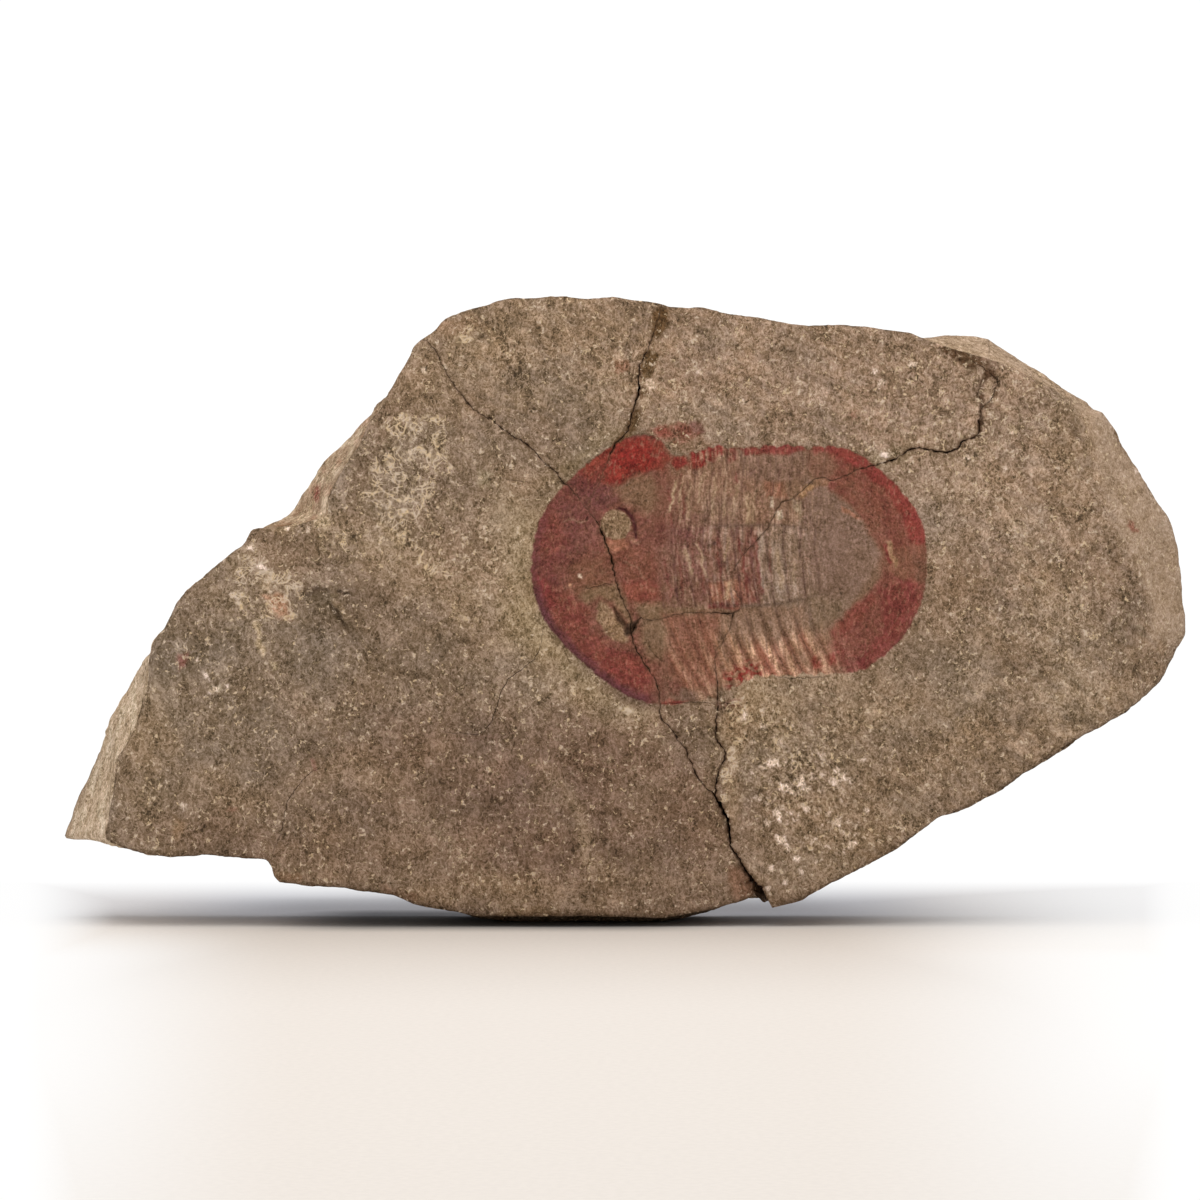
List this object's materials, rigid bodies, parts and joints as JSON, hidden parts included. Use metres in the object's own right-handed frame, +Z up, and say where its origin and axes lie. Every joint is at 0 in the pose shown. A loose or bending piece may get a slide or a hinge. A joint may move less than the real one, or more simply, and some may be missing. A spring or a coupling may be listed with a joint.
{
  "type": "trilobite fossil slab",
  "caption": "Broken shale slab standing on its lower edge, its fragments fitted together, with a flattened trilobite in low relief across the front face.",
  "frame": {"origin": "centre of the bounding box in plan, on the surface that the slab stands on", "axes": "+X along the slab's long side, towards the trilobite's tail; +Y through the thickness, away from the fossil face; +Z up"},
  "size_m": [0.232, 0.0302, 0.1276],
  "materials": {
    "shale_left": "greyish olive-brown fine shale, matt, mottled",
    "shale_top": "tan fine shale, matt, mottled",
    "shale_fossil": "tan shale with a reddish-brown and purple-grey fossil relief, matt",
    "shale_small": "brown shale with fossil ribs, matt",
    "shale_right": "tan shale with olive patches, matt"
  },
  "bodies": {
    "root": {"left_slab": "shale_left", "top_wedge": "shale_top", "top_right": "shale_fossil", "small_wedge": "shale_small", "right_slab": "shale_right"}
  },
  "joints": []
}
